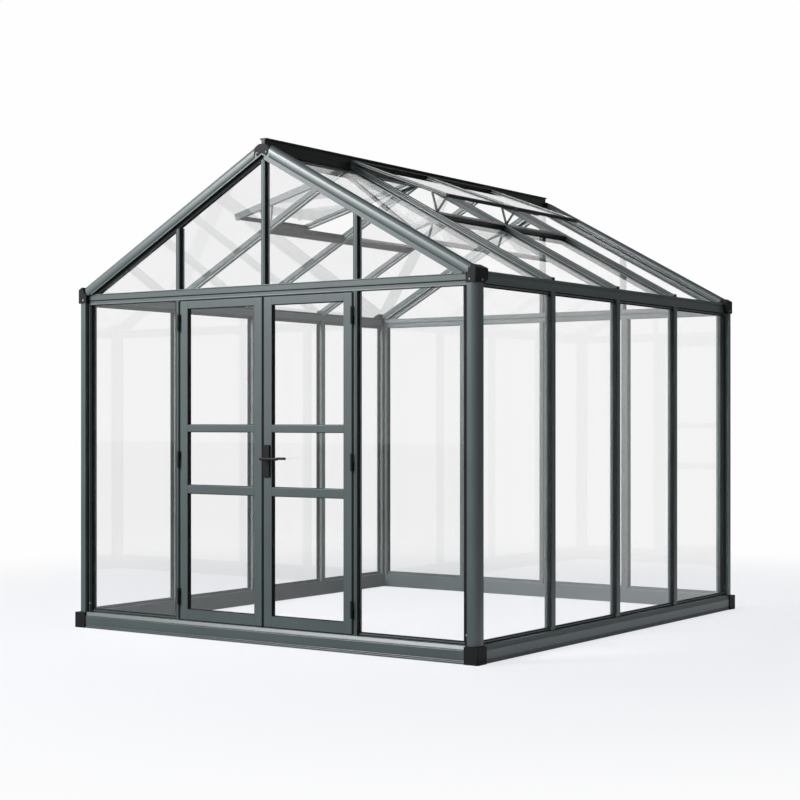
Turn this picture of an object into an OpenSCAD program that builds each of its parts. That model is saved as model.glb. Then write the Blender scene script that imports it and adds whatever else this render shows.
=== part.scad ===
// Glazed garden greenhouse: aluminium profile frame on a low base, double door in the front
// gable, opening roof vents.  X runs left to right, Y front to back, Z up from the ground.

/* [Overall size] */
// Width over the corner blocks, left to right
house_w = 2708; // [2600:2:2900]
// Length over the corner blocks, front to back
house_l = 2926; // [2800:2:3300]
// Underside of the tie beams above the ground
tie_z = 1811; // [1780:1:1860]
// Pitch of the roof in degrees
pitch = 28.5; // [26:0.5:31]

/* [Base] */
// Height of the base profile
base_h = 88; // [86:1:105]
// Thickness of the base profile
base_t = 72; // [64:1:76]
// Side of the square corner blocks
block = 80; // [76:1:90]
// Height of the corner blocks
block_h = 85; // [78:1:86]

/* [Frame] */
// Face width of the glazing bars
bar_w = 24; // [20:1:30]
// Depth of the wall bars
bar_d = 45; // [40:1:48]
// Depth of the rafters
rafter_d = 46; // [40:1:56]
// Face width of the bars in the side walls
side_bar_w = 38; // [24:1:44]
// Side of the corner post's tube
post = 58; // [54:1:62]
// Width of the flanges of the corner post
flange_w = 26; // [22:1:30]
// Number of bays in each side wall
side_bays = 4; // [3:1:6]

/* [Doors] */
// Distance from the middle to the centre line of each door jamb
jamb_x = 600; // [560:5:640]
// Face width of the door stiles
stile_w = 55; // [45:1:65]
// Thickness of a door leaf
leaf_t = 32; // [28:1:36]
// Height of the lever above the ground
lever_z = 965; // [900:5:1050]
// Length of the lever grip
lever_l = 155; // [120:5:170]

/* [Glazing] */
// Thickness of the panes
pane_t = 4; // [3:1:5]

/* [Vents] */
// Slope of the right-hand vents below the horizontal, in degrees
vent_r_angle = 20.4; // [16:0.2:24]
// Length of the right-hand vents down the slope
vent_r_l = 690; // [660:5:720]
// Slope of the left-hand vent below the horizontal, in degrees
vent_l_angle = 14.6; // [11:0.1:18]
// Length of the left-hand vent down the slope
vent_l_l = 875; // [820:5:900]

/* [Hidden] */
$fn = 36;
eps = 1;

// Outer faces of the wall frame, measured from the middle
wall_x = house_w / 2 - 32;
wall_y = house_l / 2 - 33;
// Outer faces of the base profile
base_x = house_w / 2 - 6;
base_y = house_l / 2 - 6;
// The corner post's tube stands proud of the wall faces, its flanges lie behind them
post_out = 19;
post_in = post - post_out;
post_all = post_in + flange_w;

// Section of a glazing bar: outer cap, web and inner leg, with the pane between them
cap_t = 6;
lip_w = 7;
seat = 22;
roof_seat = 36;
roof_cap = roof_seat - pane_t - 4;
tube_wall = 3;
line_w = 3;
line_d = 2;
pane_in = seat - pane_t;
slot_in = pane_in - 1;
slot_w = pane_t + 2;
slot_d = 9;

tie_h = 60;
eave_z = tie_z + 13;
eave_h = 58;
rail_h = 12;
rail_gap = 5;
rail_top = base_h + rail_gap + rail_h;

// Moulded hood over each corner of the eaves
hood_z = tie_z + 11;
hood_out = 21;
hood_l = 77;
hood_s = 1455;
hood_top = 3;

// Roof lines, given by their height on the middle line of the house
rise = tan(pitch);
rafter_top = tie_z + 74 + (wall_x + 6) * rise;
lip_top = rafter_top - 56;
barge_h = 60;
channel_h = 24;
channel_foot = lip_top - channel_h / cos(pitch);
barge_out = wall_y + 8;
barge_t = 46;
barge_in = barge_out - barge_t;
ridge_w = 50;
ridge_top = rafter_top - 6;
ridge_h = 58;
cap_stem_w = 24;
cap_stem_h = 24;
cap_flange_w = 42;
cap_flange_t = 9;
cap_out = barge_out - 10;
// Half section of the ridge connector, from its top down to the mitre of the barge lips
apex_face = [[20, 2], [42, -10], [51, -24], [36, -58], [29, -62]];
apex_notch = -47;

// Vents: sill below them, bars around them, and where they hang along the ridge
sill_s = 647;
sill_w = 40;
sill_n = 5;
sill_d = 34;
vent_bar_w = 26;
vent_bar_t = 18;
vent_l_bar_t = 36;
vent_s0 = 14;
vent_l_s0 = 34;
vent_r_x = 22;
vent_r_z = ridge_top + 14;
vent_l_z = ridge_top - 20;
vent_gap = 4;
vent_grip = 6;
vent_r_slot = 13;
vent_l_slot = 10;
vent_l_n0 = -24;
link_t = 5;
link_r = 6;

// Door leaf
leaf_gap = 5;
meet_gap = 8;
leaf_x0 = meet_gap / 2;
leaf_x1 = jamb_x - bar_w / 2 - leaf_gap;
leaf_z0 = base_h + leaf_gap;
leaf_z1 = tie_z - 7;
leaf_slot = 13;
leaf_grip = 8;
// Underside and height of each rail of a leaf
door_rails = [
    [leaf_z0, 55],
    [772, 44],
    [1103, 37],
    [leaf_z1 - 40, 40]
];
hinge_zs = [216, 954, 1690];
hinge_h = 88;
barrel_r = 7;
pin_r = 3;
pin_l = 36;
pin_play = 0.05;
flap_w = 11;
flap_t = 3;
hinge_x = leaf_x1 + leaf_gap / 2;
hinge_y = -wall_y - 8;
plate_x = 6;
plate_w = 44;
plate_z = 871;
plate_h = 166;
plate_t = 10;
lever_x = plate_x + plate_w / 2;
spindle_r = 6;

side_ys = [for (i = [1 : side_bays - 1]) -wall_y + 30 + i * (2 * wall_y - 60) / side_bays];
roof_ys = concat([-wall_y], side_ys, [wall_y]);
stud_xs = [-jamb_x, 0, jamb_x];
back_bar_w = 42;
back_bar_x = jamb_x + 17;

green = "#4d5b59";
green_dark = "#2f3c39";
black = "#1d1d20";
glass = "#dfe8ec";

// ---- Placing helpers ----

// Extrudes a section along +X; the section's x becomes Y and its y becomes Z
module along_x(length) {
    rotate([90, 0, 90])
        linear_extrude(length)
            children();
}

// Extrudes a section along +Y; the section's x becomes X and its y becomes Z
module along_y(length) {
    translate([0, length, 0])
        rotate([90, 0, 0])
            linear_extrude(length)
                children();
}

// Turns a wall drawn as the back wall, with X along it and +Y outwards, to its side
module wall(angle) {
    rotate([0, 0, angle])
        children();
}

// Draws something on both sides of the middle plane X = 0
module both_sides() {
    children();
    mirror([1, 0, 0])
        children();
}

// Draws something at both gable ends
module both_ends() {
    children();
    mirror([0, 1, 0])
        children();
}

// Right-hand roof slope: X down the slope, Z along its outward normal
module slope(z, angle = pitch, x = 0) {
    translate([x, 0, z])
        rotate([0, angle, 0])
            children();
}

// Everything below a pair of roof lines that meet at height z
module under_roof(z) {
    reach = house_w;
    polygon([[-reach, z - reach * rise], [0, z], [reach, z - reach * rise], [reach, 0], [-reach, 0]]);
}

// ---- Sections ----

// Glazing bar: outer cap at y = 0, inner leg below, and pane slots at both sides of the web,
// with the panes resting on the leg at the given depth
module bar_section(depth, width = bar_w, rest = seat, cap = cap_t) {
    difference() {
        union() {
            translate([-width / 2, -cap])
                square([width, cap]);
            translate([-width / 2 + lip_w, -rest - eps])
                square([width - 2 * lip_w, rest]);
            translate([-width / 2, -depth])
                square([width, depth - rest]);
        }
        for (side = [-1, 1])
            translate([side * width / 4 - line_w / 2, -line_d])
                square([line_w, line_d + eps]);
        translate([-width / 2 + tube_wall, -depth + tube_wall])
            square([width - 2 * tube_wall, depth - rest - 2 * tube_wall]);
    }
}

// Square with its corner at the origin rounded
module round_square(side, radius) {
    intersection() {
        square(side);
        union() {
            translate([radius, 0])
                square(side);
            translate([0, radius])
                square(side);
            translate([radius, radius])
                circle(radius);
        }
    }
}

// Half of the corner post's glazing flanges, along +X, with a groove beside the post
module post_flange() {
    step = 2;
    difference() {
        union() {
            translate([post_in - eps, step])
                square([flange_w + eps, cap_t - step]);
            translate([post_in - eps, seat])
                square([flange_w + eps, bar_d - seat]);
        }
        translate([post_in, 0])
            square([2 * line_w, step + line_d]);
    }
}

// Corner post with the corner of the wall faces at the origin
module post_section() {
    corner = 38;
    difference() {
        union() {
            translate([-post_out, -post_out])
                round_square(post, corner);
            post_flange();
            mirror([1, -1])
                post_flange();
        }
        translate([tube_wall - post_out, tube_wall - post_out])
            round_square(post - 2 * tube_wall, corner - tube_wall);
    }
}

// Base profile: outer face at x = 0, bead and shadow lines, chamfered rim
module base_section() {
    rim = 18;
    chamfer = 10;
    wall = 4;
    difference() {
        polygon([
            [0, 0], [0, base_h - rim], [-line_w, base_h - rim],
            [-chamfer, base_h], [-base_t, base_h], [-base_t, 0]
        ]);
        for (z = [9, 17, base_h - rim - 5])
            translate([-line_w, z])
                square([line_w + eps, line_w]);
        translate([-base_t + wall, wall])
            square([base_t - chamfer, base_h - rim - wall]);
    }
}

// Tie beam: lips along both edges of the outer face, a shadow line on it, a groove along the
// inner face, pane slots above and below
module tie_section() {
    lip = 5;
    groove = [18, 13, 8];
    difference() {
        translate([-bar_d, 0])
            square([bar_d, tie_h]);
        translate([-line_w, lip])
            square([line_w + eps, tie_h - 2 * lip]);
        translate([-2 * line_w, groove[0] + 4])
            square([line_w + eps, line_w]);
        translate([-bar_d - eps, groove[0]])
            square([groove[2] + eps, groove[1]]);
        for (z = [-eps, tie_h - slot_d])
            translate([-slot_in - slot_w, z])
                square([slot_w, slot_d + eps]);
    }
}

// Eave beam: box below, gutter above that the roof panes drain into over its low inner wall
module eave_section() {
    gutter = 4;
    gutter_h = 10;
    foot_h = 6;
    floor_h = 26;
    outer_wall = 12;
    inner_h = 42;
    difference() {
        union() {
            translate([-bar_d, 0])
                square([bar_d - line_w, eave_h]);
            translate([-gutter, eave_h - gutter_h])
                square([2 * gutter, gutter_h]);
            translate([-gutter, 0])
                square([gutter, foot_h]);
        }
        translate([-line_w - line_d, eave_h - 2 * gutter_h])
            square([line_d + eps, line_w]);
        translate([-bar_d + tube_wall, tube_wall])
            square([bar_d - line_w - line_d - 2 * tube_wall, floor_h - 2 * tube_wall]);
        translate([-bar_d + tube_wall, floor_h])
            square([bar_d - outer_wall - tube_wall, eave_h]);
        translate([-bar_d - eps, inner_h])
            square([bar_d - outer_wall, eave_h]);
    }
}

// Rail that holds a pane's edge: neck below, slot above, foot at y = 0
module rail_section() {
    cheek = 4;
    difference() {
        union() {
            translate([-slot_in - slot_w, 0])
                square([slot_w, rail_gap + eps]);
            translate([-slot_in - slot_w - cheek, rail_gap])
                square([slot_w + 2 * cheek, rail_h]);
        }
        translate([-slot_in - slot_w, rail_gap + rail_h - slot_d])
            square([slot_w, slot_d + eps]);
    }
}

// Barge board profile at the lip line: round-topped tube above, glazing channel below, ledge
// and lip for the roof panes behind; x is the distance in from the outer face
module barge_section() {
    tube_r = barge_t / 2;
    wall = 4;
    lip = [10, 7];
    channel_in = 13;
    ledge = 12;
    pane_foot = (rafter_top - lip_top) * cos(pitch) - roof_seat;
    difference() {
        union() {
            square([barge_t, barge_h - tube_r]);
            translate([tube_r, barge_h - tube_r])
                circle(tube_r);
            translate([-line_d, -wall])
                square(lip);
            translate([channel_in, -channel_h])
                square([channel_h, channel_h + eps]);
            translate([barge_t - eps, pane_foot - ledge])
                square([ledge + eps, ledge]);
            translate([barge_t - cap_t, pane_foot + roof_seat - roof_cap])
                square([ledge + cap_t, cap_t]);
        }
        translate([tube_r, barge_h - tube_r])
            circle(tube_r - wall);
        translate([wall, wall])
            square([barge_t - 2 * wall, barge_h - tube_r - wall]);
        translate([barge_out - wall_y + slot_in, -channel_h - eps])
            square([slot_w, slot_d + eps]);
    }
}

// ---- Base ----

module base_end_beams() {
    color(green)
        both_ends()
            translate([-house_w / 2 + block, base_y, 0])
                along_x(house_w - 2 * block)
                    base_section();
}

module base_side_beams() {
    color(green)
        both_sides()
            translate([base_x, -house_l / 2 + block, 0])
                along_y(house_l - 2 * block)
                    base_section();
}

module base_corner_blocks() {
    plinth = 11;
    color(black)
        both_ends()
            both_sides()
                translate([house_w / 2, house_l / 2, 0])
                    mirror([1, 0, 0])
                        mirror([0, 1, 0]) {
                            linear_extrude(block_h)
                                round_square(block, 8);
                            translate([plinth, plinth, 0])
                                linear_extrude(base_h)
                                    round_square(block - plinth, 36);
                        }
}

// ---- Walls ----

// Corner posts, with the flanges in the gables cut off where the tie beams lie on them
module corner_posts() {
    color(green)
        both_ends()
            both_sides()
                translate([wall_x, wall_y, base_h])
                    mirror([1, 0, 0])
                        mirror([0, 1, 0])
                            difference() {
                                linear_extrude(hood_z - base_h)
                                    post_section();
                                translate([bar_d, -eps, tie_z - base_h])
                                    cube([post_all, bar_d + eps, hood_z]);
                            }
}

module wall_bars(positions, out, top, width = bar_w) {
    for (p = positions)
        translate([p, out, base_h])
            linear_extrude(top - base_h)
                bar_section(bar_d, width);
}

module front_jambs() {
    color(green)
        wall(180)
            wall_bars([-jamb_x, jamb_x], wall_y, tie_z);
}

module back_mullions() {
    color(green) {
        wall_bars([0], wall_y, tie_z);
        wall_bars([-back_bar_x, back_bar_x], wall_y, tie_z, back_bar_w);
    }
}

module left_mullions() {
    color(green_dark)
        wall(90)
            wall_bars(side_ys, wall_x, eave_z, side_bar_w);
}

module right_mullions() {
    color(green_dark)
        wall(-90)
            wall_bars(side_ys, wall_x, eave_z, side_bar_w);
}

module tie_beams() {
    color(green)
        both_ends()
            translate([-wall_x + bar_d, wall_y, tie_z])
                along_x(2 * (wall_x - bar_d))
                    tie_section();
}

module eave_beams() {
    color(green_dark)
        both_sides()
            difference() {
                translate([wall_x, -wall_y + post_all, eave_z])
                    along_y(2 * (wall_y - post_all))
                        eave_section();
                both_ends()
                    eave_hood();
            }
}

// Edges of each bay between the faces of bars at the given places
function bays(bars, end, width) =
    let (marks = concat([-end], bars, [end]), last = len(bars))
    [for (i = [0 : last])
        [marks[i] + (i == 0 ? 0 : width / 2), marks[i + 1] - (i == last ? 0 : width / 2)]];

front_bays = [
    [-wall_x + post_all, -jamb_x - bar_w / 2],
    [jamb_x + bar_w / 2, wall_x - post_all]
];
back_bays = [
    [-wall_x + post_all, -back_bar_x - back_bar_w / 2],
    [-back_bar_x + back_bar_w / 2, -bar_w / 2],
    [bar_w / 2, back_bar_x - back_bar_w / 2],
    [back_bar_x + back_bar_w / 2, wall_x - post_all]
];
side_wall_bays = bays(side_ys, wall_y - post_all, side_bar_w);

module wall_rails(edges, out) {
    for (e = edges)
        translate([e[0], out, 0])
            along_x(e[1] - e[0])
                rail_section();
}

module bottom_glazing_rails() {
    color(green)
        translate([0, 0, base_h]) {
            wall(180)
                wall_rails(front_bays, wall_y);
            wall_rails(back_bays, wall_y);
            for (a = [-90, 90])
                wall(a)
                    wall_rails(side_wall_bays, wall_x);
        }
}

module top_glazing_rails() {
    color(green_dark)
        for (a = [-90, 90])
            wall(a)
                translate([0, 0, eave_z])
                    mirror([0, 0, 1])
                        wall_rails(side_wall_bays, wall_x);
}

// Panes reach past the bay edges into the slots of the bars
module wall_panes(edges, out, top) {
    grip = lip_w - 1;
    foot = rail_top - slot_d;
    for (e = edges)
        translate([e[0] - grip, out - pane_in - pane_t, foot])
            cube([e[1] - e[0] + 2 * grip, pane_t, top - foot]);
}

module front_wall_panes() {
    color(glass, 0.3)
        wall(180)
            wall_panes(front_bays, wall_y, tie_z + slot_d - 1);
}

module back_wall_panes() {
    color(glass, 0.3)
        wall_panes(back_bays, wall_y, tie_z + slot_d - 1);
}

module side_wall_panes() {
    color(glass, 0.3)
        for (a = [-90, 90])
            wall(a)
                wall_panes(side_wall_bays, wall_x, eave_z - rail_gap - rail_h + slot_d - 1);
}

// ---- Gables ----

module ridge_connector() {
    half = [for (i = [len(apex_face) - 1 : -1 : 0]) [-apex_face[i][0], apex_face[i][1]]];
    translate([0, barge_out + line_w, ridge_top])
        rotate([90, 0, 0])
            linear_extrude(barge_t + line_w)
                polygon(concat(apex_face, [[0, apex_notch]], half));
}

module ridge_connectors() {
    color(black)
        both_ends()
            ridge_connector();
}

// Hood over the right-hand corner of the back gable: its inner edge runs square to the barge,
// and its end along the eave is cut back below and above
module eave_hood() {
    corner = 16;
    nose = [33, 19];
    brow = [12, 10];
    y0 = wall_y - hood_l;
    top = lip_top + (barge_h + hood_top) / cos(pitch);
    high = top - (wall_x - bar_d) * rise;
    intersection() {
        translate([wall_x + hood_out, wall_y + hood_out, hood_z])
            mirror([1, 0, 0])
                mirror([0, 1, 0])
                    linear_extrude(high - hood_z)
                        round_square(hood_l + hood_out, corner);
        rotate([90, 0, 0])
            linear_extrude(3 * house_l, center = true)
                difference() {
                    intersection() {
                        under_roof(top);
                        translate([wall_x - bar_d, 0])
                            square([house_w, high]);
                    }
                    intersection() {
                        translate([0, lip_top])
                            rotate(-pitch)
                                square([hood_s, 2 * hood_l]);
                        translate([0, tie_z + tie_h])
                            square([house_w, house_w]);
                    }
                }
        rotate([90, 0, 90])
            linear_extrude(house_w)
                polygon([
                    [house_l, hood_z], [y0 + nose[0], hood_z], [y0, hood_z + nose[1]],
                    [y0, high - brow[1] - nose[1]], [y0 + brow[0], high - nose[1]],
                    [y0 + nose[0], high], [house_l, high]
                ]);
    }
}

module eave_connectors() {
    color(black)
        both_ends()
            both_sides()
                eave_hood();
}

// Barge on the right-hand side of the back gable
module barge() {
    difference() {
        slope(lip_top)
            translate([-barge_h, barge_out, 0])
                mirror([0, 1, 0])
                    along_x(house_w)
                        barge_section();
        translate([-house_w, 0, 0])
            cube([house_w, house_l, 2 * house_w]);
        translate([wall_x - line_w, 0, 0])
            cube([house_w, house_l, 2 * house_w]);
        translate([-eps, barge_in - house_l, 0])
            cube([ridge_w / 2 + eps, house_l, 2 * house_w]);
        translate([0, 0, tie_z + tie_h - house_w])
            cube([house_w, house_l, house_w]);
        ridge_connector();
        translate([-eps, 0, ridge_top + apex_face[2][1]])
            cube([apex_face[2][0] + eps, house_l, house_w]);
        eave_hood();
    }
}

module back_barge_right() {
    color(green)
        barge();
}

module back_barge_left() {
    color(green)
        mirror([1, 0, 0])
            barge();
}

module front_barge_right() {
    color(green)
        mirror([0, 1, 0])
            barge();
}

module front_barge_left() {
    color(green)
        mirror([0, 1, 0])
            mirror([1, 0, 0])
                barge();
}

module gable_studs() {
    color(green)
        both_ends()
            intersection() {
                for (x = stud_xs)
                    translate([x, wall_y, tie_z + tie_h])
                        linear_extrude(house_w)
                            bar_section(bar_d);
                rotate([90, 0, 0])
                    linear_extrude(3 * house_l, center = true)
                        under_roof(channel_foot);
            }
}

module gable_panes() {
    grip = bar_w / 2 - lip_w + 1;
    foot = tie_z + tie_h - slot_d;
    marks = concat([-wall_x], stud_xs, [wall_x]);
    color(glass, 0.3)
        both_ends()
            translate([0, wall_y - pane_in, 0])
                rotate([90, 0, 0])
                    linear_extrude(pane_t)
                        intersection() {
                            under_roof(channel_foot + (slot_d - 1) / cos(pitch));
                            for (i = [0 : len(marks) - 2])
                                translate([marks[i] + grip, foot])
                                    square([marks[i + 1] - marks[i] - 2 * grip, house_w]);
                        }
}

// ---- Roof ----

module ridge_beam() {
    wall = 5;
    color(green_dark)
        translate([0, -barge_in, ridge_top - ridge_h])
            along_y(2 * barge_in)
                difference() {
                    translate([-ridge_w / 2, 0])
                        square([ridge_w, ridge_h]);
                    for (side = [-1, 1], z = [2 * wall, ridge_h - 3 * wall])
                        translate([side * ridge_w / 2 - line_d, z])
                            square([2 * line_d, line_w]);
                    translate([-ridge_w / 2 + wall, wall])
                        square([ridge_w - 2 * wall, ridge_h - 2 * wall]);
                }
}

module ridge_cap() {
    color(black) {
        translate([-cap_stem_w / 2, -barge_in, ridge_top])
            cube([cap_stem_w, 2 * barge_in, cap_stem_h + eps]);
        translate([-cap_stem_w / 2, -cap_out, ridge_top + apex_face[0][1]])
            cube([cap_stem_w, 2 * cap_out, cap_stem_h - apex_face[0][1] + eps]);
        translate([-cap_flange_w / 2, -cap_out, ridge_top + cap_stem_h])
            cube([cap_flange_w, 2 * cap_out, cap_flange_t]);
    }
}

module rafter(y) {
    difference() {
        slope(rafter_top)
            translate([-rafter_d, y, 0])
                along_x(house_w)
                    bar_section(rafter_d, bar_w, roof_seat, roof_cap);
        translate([ridge_w / 2 - house_w, y - bar_w, 0])
            cube([house_w, 2 * bar_w, 2 * house_w]);
        translate([wall_x - 6, y - bar_w, 0])
            cube([house_w, 2 * bar_w, 2 * house_w]);
        translate([wall_x - bar_d, y - bar_w, eave_z + eave_h - house_w])
            cube([house_w, 2 * bar_w, house_w]);
    }
}

module rafters_right() {
    color(green_dark)
        for (y = side_ys)
            rafter(y);
}

module rafters_left() {
    color(green_dark)
        mirror([1, 0, 0])
            for (y = side_ys)
                rafter(y);
}

// Bars under the lower edge of the vents, between the rafters of the two middle bays
module vent_sills() {
    color(green_dark)
        both_sides()
            for (y = [side_ys[0], side_ys[1]])
                slope(rafter_top)
                    translate([sill_s, y + bar_w / 2, -sill_n - sill_d])
                        cube([sill_w, side_ys[1] - side_ys[0] - bar_w, sill_d]);
}

pane_s0 = (ridge_w / 2 + roof_seat * sin(pitch)) / cos(pitch) + 2;
pane_s1 = (wall_x - 30) / cos(pitch) + roof_seat * tan(pitch);
sill_s1 = sill_s + sill_w + 2;

// Roof panes of the given bays from distance a to distance b down the slope, clear of the hoods
module roof_panes(bay_list, a, b) {
    last = side_bays - 1;
    edge = bar_w / 2 - lip_w + 1;
    difference() {
        slope(rafter_top)
            for (i = bay_list) {
                y0 = i == 0 ? -barge_in + 2 : roof_ys[i] + edge;
                y1 = i == last ? barge_in - 2 : roof_ys[i + 1] - edge;
                translate([a, y0, -roof_seat])
                    cube([b - a, y1 - y0, pane_t]);
            }
        both_ends()
            translate([wall_x - bar_d - line_w, wall_y - hood_l - eps, 0])
                cube([house_w, house_l, house_w]);
    }
}

module roof_panes_right() {
    color(glass, 0.3) {
        roof_panes([0, side_bays - 1], pane_s0, pane_s1);
        roof_panes([1, 2], sill_s1, pane_s1);
    }
}

module roof_panes_left() {
    color(glass, 0.3)
        mirror([1, 0, 0]) {
            roof_panes([0, side_bays - 1], pane_s0, pane_s1);
            roof_panes([1, 2], sill_s1, pane_s1);
            roof_panes([2], pane_s0, sill_s - 2);
        }
}

// ---- Vents ----

// Frame of the right-hand vents: hinge line at the ridge cap, X down the open vent
module right_vent_place() {
    slope(vent_r_z, vent_r_angle, vent_r_x)
        children();
}

// Frame of the left-hand vent, hung from the side of the ridge beam
module left_vent_place() {
    mirror([1, 0, 0])
        slope(vent_l_z, vent_l_angle)
            children();
}

// Centre lines of the bars beside the left-hand vent, which opens between two rafters
vent_l_ys = [
    side_ys[0] + (bar_w + vent_bar_w) / 2 + vent_gap,
    side_ys[1] - (bar_w + vent_bar_w) / 2 - vent_gap
];

module vent_bar(y, s0, s1, thick, n0) {
    translate([s0, y - vent_bar_w / 2, n0])
        cube([s1 - s0, vent_bar_w, thick]);
}

// Slab between the bars at the two given places that reaches the given distance into them
module vent_sheet(ys, s0, s1, n, thick, grip) {
    inset = vent_bar_w - grip;
    translate([s0 + inset, ys[0] - vent_bar_w / 2 + inset, n])
        cube([s1 - s0 - 2 * inset, ys[1] - ys[0] + vent_bar_w - 2 * inset, thick]);
}

module vent_slot(ys, s0, s1, n) {
    vent_sheet(ys, s0, s1, n, pane_t + 2, vent_grip);
}

module right_vent_slots() {
    for (i = [0, 1])
        vent_slot([side_ys[i], side_ys[i + 1]], vent_s0, vent_r_l, -vent_r_slot);
}

module vent_side_bars() {
    color(green_dark) {
        right_vent_place()
            difference() {
                for (i = [0 : 2])
                    vent_bar(side_ys[i], vent_s0, vent_r_l, vent_bar_t, -vent_bar_t);
                right_vent_slots();
            }
        difference() {
            left_vent_place()
                difference() {
                    for (y = vent_l_ys)
                        vent_bar(y, 0, vent_l_l, vent_l_bar_t, vent_l_n0);
                    vent_slot(vent_l_ys, vent_l_s0, vent_l_l, -vent_l_slot);
                }
            translate([-ridge_w / 2, -house_l, 0])
                cube([house_w, 2 * house_l, 2 * house_w]);
        }
    }
}

// Top and bottom rails of one vent between its side bars
module vent_rail_pair(ys, s0, s1) {
    for (s = [s0, s1 - vent_bar_w])
        translate([s, ys[0] + vent_bar_w / 2, -vent_bar_t])
            cube([vent_bar_w, ys[1] - ys[0] - vent_bar_w, vent_bar_t]);
}

module vent_rails() {
    color(green_dark) {
        right_vent_place()
            difference() {
                for (i = [0, 1])
                    vent_rail_pair([side_ys[i], side_ys[i + 1]], vent_s0, vent_r_l);
                right_vent_slots();
            }
        left_vent_place()
            difference() {
                vent_rail_pair(vent_l_ys, vent_l_s0, vent_l_l);
                vent_slot(vent_l_ys, vent_l_s0, vent_l_l, -vent_l_slot);
            }
    }
}

module vent_panes() {
    color(glass, 0.3) {
        right_vent_place()
            for (i = [0, 1])
                vent_sheet(
                    [side_ys[i], side_ys[i + 1]], vent_s0, vent_r_l,
                    -vent_r_slot, pane_t, vent_grip - 1
                );
        left_vent_place()
            vent_sheet(vent_l_ys, vent_l_s0, vent_l_l, -vent_l_slot, pane_t, vent_grip - 1);
    }
}

// Flat link between two points of the cross-section plane
module link(p, q, y) {
    run = q - p;
    translate([p[0], y, p[1]])
        rotate([0, -atan2(run[1], run[0]), 0]) {
            translate([0, 0, -link_r])
                cube([norm(run), link_t, 2 * link_r]);
            for (s = [0, norm(run)])
                translate([s, link_t, 0])
                    rotate([90, 0, 0])
                        cylinder(r = link_r, h = link_t);
        }
}

function roof_point(s, n, angle, z, x = 0) =
    [x + s * cos(angle) + n * sin(angle), z - s * sin(angle) + n * cos(angle)];

// Stays in a V: two links that rise from one point of the sill to the underside of the vent
module vent_stays() {
    spread = 90;
    near_r = vent_r_l - 110;
    near_l = sill_s - 45;
    gap = link_r + 1;
    beside = bar_w / 2 + 3;
    foot = roof_point(sill_s + sill_w / 2, link_r - sill_n, pitch, rafter_top);
    color(black) {
        for (side = [0, 1], y = [side_ys[0], side_ys[1]])
            link(
                foot,
                roof_point(near_r + side * spread, -vent_bar_t - gap, vent_r_angle, vent_r_z, vent_r_x),
                y + beside + side * (link_t + 1)
            );
        mirror([1, 0, 0])
            for (side = [0, 1])
                link(
                    foot,
                    roof_point(near_l + side * spread, vent_l_n0 - gap, vent_l_angle, vent_l_z),
                    vent_l_ys[0] + side * (link_t + 1)
                );
    }
}

// ---- Doors, drawn as the right-hand leaf ----

// Spaces between the rails of a leaf, drawn wider and taller than they are by the given grip
module leaf_spaces(y, thick, grip) {
    for (i = [0 : len(door_rails) - 2]) {
        z0 = door_rails[i][0] + door_rails[i][1];
        translate([leaf_x0 + stile_w - grip, y, z0 - grip])
            cube([leaf_x1 - leaf_x0 - 2 * (stile_w - grip), thick, door_rails[i + 1][0] - z0 + 2 * grip]);
    }
}

module leaf_slots() {
    leaf_spaces(-wall_y + leaf_slot, pane_t + 2, leaf_grip);
}

module leaf_stiles() {
    color(green)
        difference() {
            for (x = [leaf_x0, leaf_x1 - stile_w])
                translate([x, -wall_y, leaf_z0])
                    cube([stile_w, leaf_t, leaf_z1 - leaf_z0]);
            leaf_slots();
        }
}

module leaf_rails() {
    color(green)
        difference() {
            for (r = door_rails)
                translate([leaf_x0 + stile_w, -wall_y, r[0]])
                    cube([leaf_x1 - leaf_x0 - 2 * stile_w, leaf_t, r[1]]);
            leaf_slots();
        }
}

module leaf_panes() {
    color(glass, 0.3)
        leaf_spaces(-wall_y + leaf_slot + 1, pane_t, leaf_grip - 1);
}

// Flap of a hinge between its barrel and the face it lies on, on the side given by its sign
module hinge_flap(side, h) {
    translate([side < 0 ? -flap_w : 0, -hinge_y - wall_y - flap_t, 0])
        cube([flap_w, flap_t, h]);
}

// Upper knuckles with the bores that turn on the pins, and their flaps on the stile
module leaf_hinges() {
    lift = 0.5;
    knuckle = hinge_h / 2 - lift;
    color(black)
        for (z = hinge_zs)
            translate([hinge_x, hinge_y, z + lift])
                difference() {
                    union() {
                        cylinder(r = barrel_r, h = knuckle);
                        hinge_flap(-1, knuckle);
                    }
                    translate([0, 0, -eps])
                        cylinder(r = pin_r + pin_play, h = pin_l + 1);
                }
}

module jamb_hinges() {
    color(black)
        both_sides()
            for (z = hinge_zs)
                translate([hinge_x, hinge_y, z - hinge_h / 2]) {
                    cylinder(r = barrel_r, h = hinge_h / 2);
                    cylinder(r = pin_r, h = hinge_h / 2 + pin_l);
                    hinge_flap(1, hinge_h / 2);
                }
}

module right_door_stiles() {
    leaf_stiles();
}

module right_door_rails() {
    leaf_rails();
}

module right_door_panes() {
    leaf_panes();
}

module right_door_hinges() {
    leaf_hinges();
}

module left_door_stiles() {
    mirror([1, 0, 0])
        leaf_stiles();
}

module left_door_rails() {
    mirror([1, 0, 0])
        leaf_rails();
}

module left_door_panes() {
    mirror([1, 0, 0])
        leaf_panes();
}

module left_door_hinges() {
    mirror([1, 0, 0])
        leaf_hinges();
}

module lock_plate() {
    color(black)
        difference() {
            translate([plate_x, -wall_y - plate_t, plate_z])
                cube([plate_w, plate_t, plate_h]);
            translate([lever_x, -wall_y - plate_t - eps, lever_z])
                rotate([-90, 0, 0])
                    cylinder(r = spindle_r + pin_play, h = plate_t + 2 * eps);
        }
}

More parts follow.
